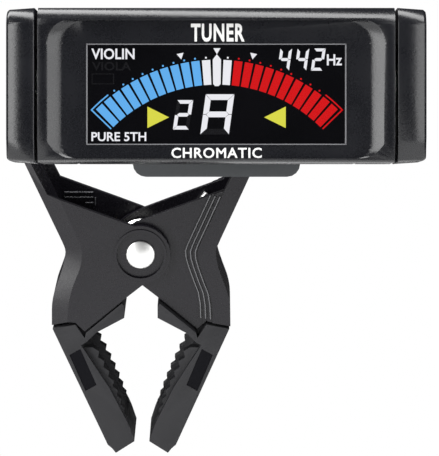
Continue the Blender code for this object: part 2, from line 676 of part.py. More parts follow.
# The spring's coil; each leg leaves it on its lower side and runs up to a handle
def tangent(leg, side):
    """The angle about the pin where a leg meets the coil."""
    return math.atan2(leg[1], leg[0]) + side * math.acos(COIL_R / math.hypot(*leg))


start, end = tangent(LEFT_LEG, 1), tangent(RIGHT_LEG, -1) + 2 * math.pi * COIL_TURNS
steps = round((end - start) / (2 * math.pi) * 16)
path = [(LEFT_LEG[0], COIL_FROM, LEFT_LEG[1])]
for i in range(steps + 1):
    angle = start + (end - start) * i / steps
    depth = COIL_FROM + (COIL_TO - COIL_FROM) * i / steps
    path.append((COIL_R * math.cos(angle), depth, COIL_R * math.sin(angle)))
path.append((RIGHT_LEG[0], COIL_TO, RIGHT_LEG[1]))
wire("torsion_spring", path, WIRE_R, "steel", clip)

# Swivel: a disc screwed to the fixed lever, and the screw the yoke turns on
FACE_W = WEB_BACK - CLIP_W  # the web's back, in the clip's depth
washer = cut(
    cylinder("swivel_washer", 4.5, FACE_W + 0.15, FACE_W + 0.55, SWIVEL),
    cylinder("bore", BORE_R, FACE_W - 1, FACE_W + 2, SWIVEL),
)
finish(washer, "white", clip)
mount = cylinder("swivel_mount", 6.2, FACE_W + 0.72, 1.0, SWIVEL, sides=32)
mount = cut(mount, cylinder("bore", BORE_R, -4.0, 4.0, SWIVEL))
for spot in MOUNT_SPOTS:
    mount = cut(
        mount, cylinder("bore", 0.9, -4.0, 4.0, spot), cylinder("head", 1.7, -4.0, FACE_W + 1.7, spot, sides=16)
    )
finish(mount, "cap", clip)
for index, spot in enumerate(MOUNT_SPOTS):
    small = (
        (0.0, -FACE_W - 0.9), (1.45, -FACE_W - 0.9), (1.45, -FACE_W - 1.55), (0.8, -FACE_W - 1.55),
        (0.8, -3.0), (0.0, -3.0),
    )
    screw = turned(f"mount_screw_{index + 1}", small, (spot[0], spot[1]), Matrix(((1, 0, 0), (0, 0, -1), (0, 1, 0))), 16)
    finish(screw, "steel", clip)
HEAD = WEB_FRONT - CLIP_W
swivel_screw = turned(
    "swivel_screw",
    ((0.0, -HEAD - 0.15), (2.6, -HEAD - 0.15), (3.0, -HEAD - 0.5), (3.0, -HEAD - 1.0), (1.5, -HEAD - 1.0), (1.5, -5.5), (0.0, -5.5)),
    SWIVEL, Matrix(((1, 0, 0), (0, 0, -1), (0, 1, 0))),
)
finish(swivel_screw, "steel", clip)
swivel_nut = cut(
    cylinder("swivel_nut", 3.0, 3.5, 5.2, SWIVEL, sides=6), cylinder("bore", BORE_R, 2.0, 7.0, SWIVEL)
)
finish(swivel_nut, "brass", clip)
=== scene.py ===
"""Looks of a clip on tuner: a display bar in a yoke, on a spring clip with toothed jaws.

Pieces are drawn in millimetres, about the display's tilt axis or about the clip's pin, and are
then placed in the shared frame.
"""

import json
import math

import bmesh
import bpy
from mathutils import Matrix, Vector

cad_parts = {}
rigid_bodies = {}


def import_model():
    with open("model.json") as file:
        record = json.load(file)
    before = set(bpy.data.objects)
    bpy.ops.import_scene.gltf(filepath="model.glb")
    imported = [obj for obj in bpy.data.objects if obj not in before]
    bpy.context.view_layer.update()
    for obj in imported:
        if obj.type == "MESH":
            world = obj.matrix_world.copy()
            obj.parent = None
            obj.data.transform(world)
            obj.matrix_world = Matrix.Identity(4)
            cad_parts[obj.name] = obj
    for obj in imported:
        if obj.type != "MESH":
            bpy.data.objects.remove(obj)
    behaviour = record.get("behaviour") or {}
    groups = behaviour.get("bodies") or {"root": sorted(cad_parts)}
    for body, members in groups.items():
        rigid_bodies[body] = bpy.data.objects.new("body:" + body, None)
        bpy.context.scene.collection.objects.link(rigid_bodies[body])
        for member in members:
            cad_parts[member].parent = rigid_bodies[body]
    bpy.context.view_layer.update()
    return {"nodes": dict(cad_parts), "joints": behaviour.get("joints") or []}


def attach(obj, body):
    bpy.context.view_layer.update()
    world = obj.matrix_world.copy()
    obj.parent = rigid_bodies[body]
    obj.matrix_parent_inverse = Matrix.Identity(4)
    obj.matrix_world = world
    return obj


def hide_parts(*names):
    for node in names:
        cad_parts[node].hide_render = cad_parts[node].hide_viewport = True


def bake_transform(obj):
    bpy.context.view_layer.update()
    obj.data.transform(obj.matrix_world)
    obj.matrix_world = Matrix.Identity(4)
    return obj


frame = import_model()

MM = 0.001
JOINTS = {joint["name"]: joint for joint in frame["joints"]}
CLIP_DEEP = 14.0
TILT_AXIS = Vector(JOINTS["display_tilt"]["pos_m"])
PIN_AXIS = Vector(JOINTS["jaw_hinge"]["axis"]).normalized()
PIN_FRONT = Vector(JOINTS["jaw_hinge"]["pos_m"]) - PIN_AXIS * CLIP_DEEP / 2 * MM
CLIP_UP = Vector((1, 0, 0)).cross(PIN_AXIS)

# From millimetres about the tilt axis, and about the pin's front end. About the pin the axes run
# right, into the depth and towards the handles.
DISPLAY = Matrix.Translation(TILT_AXIS) @ Matrix.Scale(MM, 4)
CLIP_TURN = Matrix((Vector((1, 0, 0)), PIN_AXIS, CLIP_UP)).transposed().to_4x4()
CLIP = Matrix.Translation(PIN_FRONT) @ CLIP_TURN @ Matrix.Scale(MM, 4)

# Display bar
FRONT_Y, DISH_FLOOR_Y, GLASS_Y = -9.5, -8.3, -8.35
DISH_HALF, DISH_TOP, DISH_BOTTOM, DISH_FLOOR_HALF = 29.1, 11.15, -12.8, 26.3
WINDOW_HALF, WINDOW_TOP, WINDOW_BOTTOM = 22.2, 6.9, -10.2
BUTTON_Y, BUTTON_TOP = 3.0, 13.8
BUTTON_XS = {"mode": -18.0, "pitch_down": -6.0, "pitch_up": 6.0, "power": 18.0}
SCREW_XS, SCREW_ZS, SCREW_TOP = (-27.3, 27.3), (-8.2, 8.2), 9.1
COVER_BACK = 9.35  # just inside the battery cover's back

# Meter, a fan of bars about a centre below the window
MARK_DROP = -0.3  # all the marks, from where they are drawn
METER_X, METER_Z = 0.1, -24.95
BAR_PITCH = 3.6  # degrees from a bar to the next
BAR_IN, BAR_OUT, BAR_INNER_HALF, BAR_OUTER_HALF = 25.25, 29.5, 0.64, 0.715
DOT_CIRCLE, DOT_R = 29.92, 0.17

# Clip: the spring's coil and the ends of its legs, and the patch let into each boot's recess,
# darker than the boot as painted shade of the recess
COIL_R, WIRE_R, COIL_FROM, COIL_TO, COIL_TURNS = 4.2, 0.5, 3.9, 10.1, 5
LEFT_LEG, RIGHT_LEG = (-15.2, 9.3), (12.15, 9.4)
GRIP_PATCH = ((-13.38, -19.27), (-11.31, -18.1), (-8.41, -25.13), (-10.48, -26.3))


# ---------------------------------------------------------------- node trees
class Socket:
    """A socket in a node tree. Arithmetic on it adds Math nodes."""

    def __init__(self, graph, socket):
        self.graph, self.socket = graph, socket

    def maths(self, operation, *others):
        values = dict(enumerate((self, *others)))
        return self.graph.node("ShaderNodeMath", {"operation": operation}, values)

    def __add__(self, other):
        return self.maths("ADD", other)

    def __sub__(self, other):
        return self.maths("SUBTRACT", other)

    def __mul__(self, other):
        return self.maths("MULTIPLY", other)

    def __gt__(self, other):
        return self.maths("GREATER_THAN", other)

    def __lt__(self, other):
        return self.maths("LESS_THAN", other)

    def __abs__(self):
        return self.maths("ABSOLUTE")

    __radd__ = __add__


class Graph:
    """A node tree that is added to one node at a time."""

    def __init__(self, tree):
        self.tree = tree

    def node(self, kind, settings=None, inputs=None, output=0):
        """Adds a node with its settings and a value or link for each socket; gives one output."""
        made = self.tree.nodes.new(kind)
        for name, value in (settings or {}).items():
            setattr(made, name, value)
        for name, value in (inputs or {}).items():
            self.feed(made.inputs[name], value)
        return Socket(self, made.outputs[output])

    def feed(self, socket, value):
        if isinstance(value, Socket):
            self.tree.links.new(value.socket, socket)
        else:
            socket.default_value = value

    def blended(self, amount, first, second):
        """A colour between two others."""
        settings = {"data_type": "RGBA"}
        return self.node("ShaderNodeMix", settings, {0: amount, 6: first, 7: second}, output=2)


def screen(red, green, blue):
    """A colour given as a screen shows it, from 0 to 255, in linear light."""
    linear = [
        v / 255 / 12.92 if v <= 10 else ((v / 255 + 0.055) / 1.055) ** 2.4
        for v in (red, green, blue)
    ]
    return (*linear, 1.0)


class Finish(Graph):
    """A finish: one surface shader, and what varies over it."""

    def __init__(self, name, **constants):
        self.material = bpy.data.materials.new(name)
        self.material.use_nodes = True
        super().__init__(self.material.node_tree)
        self.surface = self.tree.nodes["Principled BSDF"]
        for socket, value in constants.items():
            self.surface.inputs[socket.replace("_", " ")].default_value = value
        self.place = self.node("ShaderNodeTexCoord", output="Object")

    def vary(self, **values):
        for socket, value in values.items():
            self.feed(self.surface.inputs[socket.replace("_", " ")], value)
        return self

    def about(self, place):
        """Coordinates in millimetres in the frame that place gives."""
        away, turn, _ = place.inverted().decompose()
        settings = {"vector_type": "POINT"}
        values = {"Location": away, "Rotation": turn.to_euler(), "Scale": (1 / MM,) * 3}
        return self.node("ShaderNodeMapping", settings, {"Vector": self.place, **values})

    def axes(self, vector):
        kind, values = "ShaderNodeSeparateXYZ", {"Vector": vector}
        return [self.node(kind, None, values, output=i) for i in range(3)]

    def grain(self, size, detail=2.0, roughness=0.5):
        """Cloudy grain from 0 to 1, of a size in millimetres."""
        values = {"Vector": self.place, "Scale": 1 / size / MM}
        values |= {"Detail": detail, "Roughness": roughness}
        return self.node("ShaderNodeTexNoise", None, values)

    def cells(self, size):
        """Distance from the nearest of scattered points, of a spacing in millimetres."""
        values = {"Vector": self.place, "Scale": 1 / size / MM}
        return self.node("ShaderNodeTexVoronoi", None, values)

    def relief(self, height, depth):
        """Raises the surface by height, a value from 0 to 1, times depth in millimetres."""
        values = {"Height": height, "Distance": depth * MM, "Strength": 1.0}
        return self.vary(Normal=self.node("ShaderNodeBump", None, values, "Normal"))


# ---------------------------------------------------------------- finishes
def moulded_plastic(name, colour, lighter, roughness, spark, spark_deep, specular):
    """Moulded plastic with a fine spark texture from the mould, a little smoother in places."""
    made = Finish(name, Specular_IOR_Level=specular)
    fine = made.grain(spark, 3.0, 0.65)
    cloud = made.grain(7.0, 3.0)
    pits = made.cells(spark * 1.6)
    made.vary(
        Base_Color=made.blended(cloud * 0.6 + fine * 0.4, colour, lighter),
        Roughness=roughness + (cloud - 0.5) * 0.1 + (fine - 0.5) * 0.12,
    )
    return made.relief(fine * 0.7 + pits * 0.3, spark_deep)


def backlit(name, colour, dimmer):
    """A mark of the display, a little uneven as a backlight is."""
    dark = (0.002, 0.002, 0.0025, 1.0)
    made = Finish(name, Specular_IOR_Level=0.1, Base_Color=dark, Emission_Strength=1.0)
    cloud = made.grain(5.0, 1.0)
    dots = made.cells(0.16)
    made.vary(Emission_Color=made.blended(cloud * 0.35 + dots * 0.2, colour, dimmer))
    return made.vary(Roughness=0.18 + dots * 0.15)


def ink(name, colour, worn):
    """Printed ink, matt, with the small holes of a screen print."""
    made = Finish(name, Specular_IOR_Level=0.4)
    holes = made.cells(0.22)
    cloud = made.grain(0.9, 3.0)
    made.vary(
        Base_Color=made.blended((holes < 0.16) * 0.25 + cloud * 0.3, colour, worn),
        Roughness=0.42 + cloud * 0.2,
    )
    return made.relief(cloud, 0.004)


case_plastic = moulded_plastic(
    "satin_case_plastic", (0.001, 0.0011, 0.0017, 1), (0.0045, 0.0047, 0.006, 1),
    roughness=0.28, spark=0.4, spark_deep=0.02, specular=0.28,
)
yoke_plastic = moulded_plastic(
    "matt_yoke_plastic", (0.009, 0.0107, 0.012, 1), (0.014, 0.016, 0.0177, 1),
    roughness=0.42, spark=0.36, spark_deep=0.012, specular=0.24,
)
clip_plastic = moulded_plastic(
    "smooth_clip_plastic", (0.0026, 0.0023, 0.0034, 1), (0.0046, 0.0043, 0.0058, 1),
    roughness=0.27, spark=0.6, spark_deep=0.002, specular=0.17,
)
# A lighter, glossier copy of the clip plastic for thin edges: its pale colour is a painted
# highlight along the beads and ribs it covers.
highlight_plastic = moulded_plastic(
    "polished_edge_plastic", (0.02, 0.02, 0.023, 1), (0.04, 0.04, 0.044, 1),
    roughness=0.25, spark=0.5, spark_deep=0.004, specular=0.6,
)
soft_grey_plastic = moulded_plastic(
    "white_spacer_plastic", (0.66, 0.66, 0.63, 1), (0.78, 0.78, 0.75, 1),
    roughness=0.4, spark=0.5, spark_deep=0.006, specular=0.5,
)
chip_plastic = moulded_plastic(
    "black_chip_resin", (0.014, 0.014, 0.015, 1), (0.028, 0.028, 0.029, 1),
    roughness=0.5, spark=0.18, spark_deep=0.01, specular=0.45,
)

grip_rubber = Finish("grip_rubber", Specular_IOR_Level=0.16)
_cloud, _fine = grip_rubber.grain(5.0, 4.0), grip_rubber.grain(0.25, 3.0, 0.7)
_flow = grip_rubber.grain(1.6, 2.0)
grip_rubber.vary(
    Base_Color=grip_rubber.blended(
        _cloud * 0.6 + _fine * 0.4, (0.006, 0.006, 0.007, 1), (0.013, 0.013, 0.0142, 1)
    ),
    Roughness=0.5 + _cloud * 0.12 + _fine * 0.08,
).relief(_fine * 0.5 + _flow * 0.5, 0.03)

# Much darker, matt rubber for the patch in each boot's recess: painted shade of the recess.
patch_rubber = Finish("patch_rubber", Specular_IOR_Level=0.04)
_fine = patch_rubber.grain(0.3, 3.0, 0.7)
patch_rubber.vary(
    Base_Color=patch_rubber.blended(_fine, (0.001, 0.001, 0.0016, 1), (0.0025, 0.0025, 0.0035, 1)),
    Roughness=0.55 + _fine * 0.15,
).relief(_fine, 0.02)

window_gloss = Finish("window_gloss", Specular_IOR_Level=0.1)
_haze, _specks = window_gloss.grain(11.0, 2.0), window_gloss.cells(1.9)
window_gloss.vary(
    Base_Color=window_gloss.blended(_haze, (0.0008, 0.0008, 0.001, 1), (0.0016, 0.0016, 0.002, 1)),
    Roughness=0.07 + _haze * 0.05 + (_specks < 0.05) * 0.1,
)

drawn_steel = Finish("drawn_steel_wire", Metallic=1.0)
_pull = drawn_steel.grain(0.5, 4.0, 0.7)
drawn_steel.vary(
    Base_Color=drawn_steel.blended(_pull, (0.5, 0.5, 0.49, 1), (0.72, 0.72, 0.71, 1)),
    Roughness=0.22 + _pull * 0.2,
).relief(_pull, 0.006)


def turned_metal(name, light, dark, ring, place, roughness):
    """Bright metal turned on a lathe, with fine rings about the second axis of place."""
    made = Finish(name, Metallic=1.0)
    across, _, up = made.axes(made.about(place))
    radius = (across * across + up * up).maths("SQRT")
    rings = (radius * (2 * math.pi / ring)).maths("SINE")
    scuff = made.grain(1.1, 4.0)
    made.vary(
        Base_Color=made.blended(scuff * 0.6 + rings * 0.15, light, dark),
        Roughness=roughness + scuff * 0.12 + rings * 0.03,
    )
    return made.relief(rings * 0.5 + 0.5, 0.002)


pin_steel = turned_metal(
    "turned_pin_steel", (0.42, 0.42, 0.415, 1), (0.36, 0.36, 0.355, 1),
    ring=0.14, place=CLIP, roughness=0.34,
)
screw_steel = turned_metal(
    "plated_screw_steel", (0.66, 0.66, 0.67, 1), (0.42, 0.42, 0.43, 1),
    ring=0.2, place=DISPLAY, roughness=0.25,
)
nut_brass = turned_metal(
    "turned_brass", (0.72, 0.52, 0.24, 1), (0.5, 0.35, 0.14, 1),
    ring=0.3, place=DISPLAY, roughness=0.28,
)

circuit_green = Finish("circuit_green", Specular_IOR_Level=0.5)
_values = {"Scale": 0.45, "Mortar Size": 0.06, "Mortar Smooth": 0.1}
_tracks = circuit_green.node(
    "ShaderNodeTexBrick", {"offset": 0.5, "squash": 1.0},
    {"Vector": circuit_green.about(DISPLAY), **_values}, "Fac",
)
circuit_green.vary(
    Base_Color=circuit_green.blended(_tracks, (0.012, 0.12, 0.045, 1), (0.03, 0.24, 0.1, 1)),
    Roughness=0.3 + _tracks * 0.15,
).relief(_tracks, 0.03)

cell_sleeve = Finish("cell_sleeve", Specular_IOR_Level=0.5)
_along = cell_sleeve.axes(cell_sleeve.about(DISPLAY))[0]
_band, _ends = _along > 11.0, abs(_along) > 21.2
_scuff = cell_sleeve.grain(2.0, 4.0)
_sleeve = cell_sleeve.blended(_band, (0.02, 0.035, 0.07, 1), (0.5, 0.36, 0.12, 1))
cell_sleeve.vary(
    Base_Color=cell_sleeve.blended(_ends, _sleeve, (0.6, 0.6, 0.6, 1)),
    Metallic=_ends * 0.9, Roughness=0.25 + _scuff * 0.15,
).relief(_scuff, 0.006)

glow_blue = backlit("lit_blue", screen(98, 176, 240), screen(90, 164, 228))
glow_red = backlit("lit_red", screen(214, 6, 6), screen(196, 4, 5))
glow_white = backlit("lit_white", screen(238, 238, 243), screen(224, 224, 230))
glow_yellow = backlit("lit_yellow", screen(220, 219, 72), screen(204, 202, 64))
unlit_mark = backlit("unlit_mark", screen(12, 12, 12), screen(9, 9, 9))
label_ink = ink("label_ink", (0.34, 0.34, 0.335, 1), (0.26, 0.26, 0.26, 1))
rim_ink = ink("window_rim_ink", (0.06, 0.06, 0.064, 1), (0.04, 0.04, 0.044, 1))
mark_ink = ink("key_mark_ink", (0.5, 0.5, 0.5, 1), (0.36, 0.36, 0.36, 1))


# ---------------------------------------------------------------- making pieces
def piece(name, mesh, finish, body):
    """A mesh already in its place, as a piece that rides on a body."""
    mesh.name = name
    mesh.materials.clear()
    mesh.materials.append(finish.material)
    made = bpy.data.objects.new(name, mesh)
    bpy.context.scene.collection.objects.link(made)
    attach(made, body)
    return made


def working(data):
    """An object to hang modifiers on, or to draw a curve with, while a mesh is made."""
    made = bpy.data.objects.new("working", data)
    bpy.context.scene.collection.objects.link(made)
    return made


def settled(thing):
    """The mesh of a working object with its modifiers applied; the object goes."""
    evaluated = thing.evaluated_get(bpy.context.evaluated_depsgraph_get())
    mesh = bpy.data.meshes.new_from_object(evaluated)
    bpy.data.objects.remove(thing, do_unlink=True)
    return mesh


def tidied(mesh, weld, flat=0.5):
    """Merges doubles, joins faces that lie in one plane, and turns faces outwards."""
    bm = bmesh.new()
    bm.from_mesh(mesh)
    bmesh.ops.remove_doubles(bm, verts=bm.verts, dist=weld)
    bmesh.ops.dissolve_limit(bm, angle_limit=math.radians(flat), verts=bm.verts, edges=bm.edges)
    bmesh.ops.recalc_face_normals(bm, faces=bm.faces)
    bm.to_mesh(mesh)
    bm.free()
    return mesh


def carved(mesh, cutters):
    """A mesh with other meshes cut out of it."""
    for cutter in cutters:
        thing, tool = working(mesh), working(cutter)
        step = thing.modifiers.new("carve", "BOOLEAN")
        step.operation, step.solver, step.object = "DIFFERENCE", "EXACT", tool
        mesh = settled(thing)
        bpy.data.objects.remove(tool, do_unlink=True)
    return mesh


def softened(mesh, width, angle=38.0, crisp=False):
    """Rounds edges sharper than an angle, by a width in the mesh's own units.

    The rest is shaded smooth, or is left with its creases where crisp."""
    mesh.shade_smooth()
    thing = working(mesh)
    step = thing.modifiers.new("soften", "BEVEL")
    step.width, step.segments = width, 2
    step.limit_method, step.angle_limit = "ANGLE", math.radians(angle)
    step.harden_normals = not crisp
    mesh = settled(thing)
    if crisp:
        mesh.set_sharp_from_angle(angle=math.radians(angle))
    return mesh


def from_bmesh(bm):
    bmesh.ops.recalc_face_normals(bm, faces=bm.faces)
    mesh = bpy.data.meshes.new("made")
    bm.to_mesh(mesh)
    bm.free()
    return mesh


def plate(points, front, back, across="XZ"):
    """A flat plate with an outline in X, Z (or X, Y), from front to back along the other axis."""
    bm = bmesh.new()
    upright = across == "XZ"
    rings = [
        [bm.verts.new((a, depth, b) if upright else (a, b, depth)) for a, b in points]
        for depth in (front, back)
    ]
    for i in range(len(points)):
        j = (i + 1) % len(points)
        bm.faces.new((rings[0][i], rings[0][j], rings[1][j], rings[1][i]))
    bm.faces.new(rings[0])
    bm.faces.new(rings[1])
    return from_bmesh(bm)


def rectangle(low_x, low_z, high_x, high_z):
    return [(low_x, low_z), (high_x, low_z), (high_x, high_z), (low_x, high_z)]


def together(meshes):
    """Several meshes as one."""
    bm = bmesh.new()
    for mesh in meshes:
        bm.from_mesh(mesh)
        bpy.data.meshes.remove(mesh)
    mesh = bpy.data.meshes.new("together")
    bm.to_mesh(mesh)
    bm.free()
    return mesh


def placed(mesh, place):
    mesh.transform(place)
    return mesh


def loft(loops):
    bm = bmesh.new()
    rings = [[bm.verts.new(point) for point in loop] for loop in loops]
    for near, far in zip(rings, rings[1:]):
        for i in range(len(near)):
            j = (i + 1) % len(near)
            bm.faces.new((near[i], near[j], far[j], far[i]))
    bm.faces.new(rings[0])
    bm.faces.new(rings[-1])
    return from_bmesh(bm)


def arc(across, up, radius, start, end, steps):
    turns = [math.radians(start + (end - start) * i / steps) for i in range(steps + 1)]
    return [(across + radius * math.cos(t), up + radius * math.sin(t)) for t in turns]


def make_repeater():
    """The node tree that sets out copies of a piece along a line, round a centre, or both."""
    tree = bpy.data.node_groups.new("repeater", "GeometryNodeTree")
    wanted = (
        ("Piece", "Geometry"), ("Count", "Int"), ("Step", "Vector"),
        ("First turn", "Vector"), ("Turn", "Vector"), ("Finish", "Material"),
    )
    for name, kind in wanted:
        tree.interface.new_socket(name, in_out="INPUT", socket_type=f"NodeSocket{kind}")
    tree.interface.new_socket("Pieces", in_out="OUTPUT", socket_type="NodeSocketGeometry")
    graph = Graph(tree)
    given = {name: graph.node("NodeGroupInput", output=name) for name, _ in wanted}
    index = graph.node("GeometryNodeInputIndex")
    vector_math, scale = "ShaderNodeVectorMath", {"operation": "SCALE"}
    step = graph.node(vector_math, scale, {"Vector": given["Step"], "Scale": index})
    turn = graph.node(vector_math, scale, {"Vector": given["Turn"], "Scale": index})
    turn = graph.node(vector_math, {"operation": "ADD"}, {0: given["First turn"], 1: turn})
    points = graph.node("GeometryNodePoints", None, {"Count": given["Count"], "Position": step})
    values = {"Points": points, "Instance": given["Piece"], "Rotation": turn}
    copies = graph.node("GeometryNodeInstanceOnPoints", None, values)
    real = graph.node("GeometryNodeRealizeInstances", None, {"Geometry": copies})
    values = {"Geometry": real, "Material": given["Finish"]}
    dressed = graph.node("GeometryNodeSetMaterial", None, values)
    out = tree.nodes.new("NodeGroupOutput")
    tree.links.new(dressed.socket, out.inputs["Pieces"])
    return tree


REPEATER = make_repeater()


def repeated(mesh, finish, count, step=(0, 0, 0), first_turn=0.0, turn=0.0):
    """Copies of a mesh, each moved by step and turned by turn degrees about Y from the last."""
    thing = working(mesh)
    setter = thing.modifiers.new("repeat", "NODES")
    setter.node_group = REPEATER
    values = {
        "Count": count, "Step": step, "Finish": finish.material,
        "First turn": (0, math.radians(first_turn), 0), "Turn": (0, math.radians(turn), 0),
    }
    for item in REPEATER.interface.items_tree:
        if item.name in values:
            setter[item.identifier] = values[item.name]
    return settled(thing)


def refined(node, finish, edge=0.14, cutters=(), angle=38.0, crisp=False):
    """A CAD node with its edges softened, carved where asked, standing for the node."""
    body = frame["nodes"][node].parent.name.split(":")[1]
    mesh = tidied(frame["nodes"][node].data.copy(), 2e-6)
    mesh = carved(mesh, cutters)
    if cutters:
        mesh = tidied(mesh, 2e-6, 0.1)
    if edge:
        mesh = softened(mesh, edge * MM, angle, crisp=crisp)
    made = piece(f"{node}_finished", mesh, finish, body)
    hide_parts(node)


def lettering(text, low_x, high_x, low_z, high_z, weight, front, back, spacing=1.0):
    """A word fitted to a box, facing the front."""
    curve = bpy.data.curves.new("word", "FONT")
    curve.body = text
    curve.offset = weight
    curve.space_character = spacing
    curve.extrude = 0.5
    curve.resolution_u = 3
    mesh = settled(working(curve))
    xs, ys = [v.co.x for v in mesh.vertices], [v.co.y for v in mesh.vertices]
    wide, tall = max(xs) - min(xs), max(ys) - min(ys)
    for vertex in mesh.vertices:
        x, y, depth = vertex.co
        vertex.co = (
            low_x + (x - min(xs)) / wide * (high_x - low_x), back if depth < 0 else front,
            low_z + (y - min(ys)) / tall * (high_z - low_z),
        )
    return tidied(mesh, 1e-4, 0.1)


# ---------------------------------------------------------------- display bar
def dish_loop(half, top, bottom, y, top_round, bottom_round):
    loop = arc(half - top_round, top - top_round, top_round, 0, 90, 10)
    loop += arc(-half + top_round, top - top_round, top_round, 90, 180, 10)
    loop += arc(-half + bottom_round, bottom + bottom_round, bottom_round, 180, 270, 8)
    loop += arc(half - bottom_round, bottom + bottom_round, bottom_round, 270, 360, 8)
    return [(x, y, z) for x, z in loop]


def dish():
    """The hollow of the bar's front: a flat floor whose ends curve up to the rim."""
    loops = []
    for i in range(9):
        rise = i / 7
        half = DISH_FLOOR_HALF + (DISH_HALF - DISH_FLOOR_HALF) * rise
        y = DISH_FLOOR_Y + (FRONT_Y - DISH_FLOOR_Y) * rise**1.25
        near = 0.02 + 0.15 * (1 - rise)
        rounds = (4.0 + 0.3 * rise, 2.3 + 0.3 * rise)
        loops.append(dish_loop(half, DISH_TOP - near, DISH_BOTTOM + near, y, *rounds))
    return loft(loops)


refined("front_case", case_plastic, 0.16, [placed(dish(), DISPLAY)])
refined("rear_case", case_plastic, 0.14)
refined("battery_cover", case_plastic, 0.2)
refined("display_window", window_gloss, 0.0)

for side in ("left", "right"):
    refined(f"{side}_end_cap", case_plastic, 0.25)
    refined(f"{side}_pivot_washer", soft_grey_plastic, 0.05)
    refined(f"{side}_pivot_nut", nut_brass, 0.1)
    refined(f"{side}_pivot_screw", screw_steel, 0.08)

for name in BUTTON_XS:
    refined(f"{name}_switch", chip_plastic, 0.1)


def cross_recess(x, z, top, size, deep):
    """The recess a cross head driver turns, opening towards +Y."""
    slots = [
        rectangle(x - size, z - size * 0.2, x + size, z + size * 0.2),
        rectangle(x - size * 0.2, z - size, x + size * 0.2, z + size),
    ]
    return [plate(slot, top - deep, top + 0.5) for slot in slots]


for index, (x, z) in enumerate((x, z) for x in SCREW_XS for z in SCREW_ZS):
    cross = [placed(bar, DISPLAY) for bar in cross_recess(x, z, SCREW_TOP, 1.15, 0.7)]
    refined(f"case_screw_{index + 1}", screw_steel, 0.06, cross)

refined("lcd_panel", window_gloss, 0.08)
refined("lcd_frame", soft_grey_plastic, 0.1)
refined("light_guide", soft_grey_plastic, 0.1)
refined("circuit_board", circuit_green, 0.05)
refined("button_board", circuit_green, 0.05)
refined("processor_chip", chip_plastic, 0.08)
refined("piezo_sensor", nut_brass, 0.08)
refined("battery_cell", cell_sleeve, 0.15)
refined("contact_plate", screw_steel, 0.06)
refined("contact_spring", drawn_steel, 0.0)


def on_display(name, mesh, finish, drop=MARK_DROP):
    place = DISPLAY @ Matrix.Translation((0, 0, drop))
    return piece(name, placed(mesh, place), finish, "display")


# Marks of the display stand just proud of the window
MARK_FRONT, MARK_BACK = GLASS_Y - 0.025, GLASS_Y + 0.02
MARK_WEIGHT = 0.02


def mark(points):
    return plate(points, MARK_FRONT, MARK_BACK)


def word_mark(text, low_x, high_x, low_z, high_z):
    return lettering(text, low_x, high_x, low_z, high_z, MARK_WEIGHT, MARK_FRONT, MARK_BACK)


def at_meter(mesh):
    return placed(mesh, Matrix.Translation((METER_X, 0, METER_Z)))


def bars(finish, count, first):
    """Bars of the meter from bar number first, counted from its middle."""
    corners = [
        (-BAR_INNER_HALF, BAR_IN), (BAR_INNER_HALF, BAR_IN),
        (BAR_OUTER_HALF, BAR_OUT), (-BAR_OUTER_HALF, BAR_OUT),
    ]
    bar = mark(corners)
    return repeated(bar, finish, count, first_turn=first * BAR_PITCH, turn=BAR_PITCH)


def dots(finish, count, first):
    dot = mark(arc(0, DOT_CIRCLE, DOT_R, 0, 330, 11))
    return repeated(dot, finish, count, first_turn=first * BAR_PITCH, turn=BAR_PITCH)


def end_bracket(sign):
    """The thin angled line round the meter's last bar."""
    line, low, high = 0.24, 25.3, 30.1
    outer, inner = 46.0, 38.4  # degrees from the meter's middle

    def spot(radius, degrees, shift=0.0):
        turn = math.radians(degrees)
        across = radius * math.sin(turn) + shift * math.cos(turn)
        return (sign * across, radius * math.cos(turn) - shift * math.sin(turn))

    upright = [spot(low, outer), spot(high, outer)]
    upright += [spot(high, outer, -line), spot(low, outer, -line)]
    along = [inner + (outer - inner) * i / 5 for i in range(6)]
    over = [spot(high, turn) for turn in along]
    over += [spot(high - line, turn) for turn in reversed(along)]
    return together([mark(upright), mark(over)])


def pointer(degrees, radius, tall=1.04, half=0.6):
    """A small triangle that points at the meter's centre."""
    turn = Matrix.Rotation(math.radians(degrees), 4, "Y")
    return placed(mark([(-half, radius + tall), (half, radius + tall), (0, radius)]), turn)


middle_bar = [
    (-BAR_INNER_HALF, BAR_IN + 0.1), (-0.3, BAR_IN - 0.25),
    (0.3, BAR_IN - 0.25), (BAR_INNER_HALF, BAR_IN + 0.1),
    (BAR_OUTER_HALF, BAR_OUT + 0.05), (0, BAR_OUT + 0.95), (-BAR_OUTER_HALF, BAR_OUT + 0.05),
]
flat_side = [bars(glow_blue, 11, -12), dots(glow_blue, 9, -10), end_bracket(-1)]
on_display("meter_flat_side", at_meter(together(flat_side)), glow_blue)
sharp_side = [bars(glow_red, 11, 2), dots(glow_red, 9, 2), end_bracket(1)]
on_display("meter_sharp_side", at_meter(together(sharp_side)), glow_red)
on_display(
    "meter_in_tune",
    at_meter(together([
        bars(glow_white, 1, -1), bars(glow_white, 1, 1),
        dots(glow_white, 1, -1), dots(glow_white, 1, 1),
        mark(middle_bar), pointer(0.0, 30.45), pointer(-11.65, 30.2), pointer(11.65, 30.2),
    ])),
    glow_white,
)


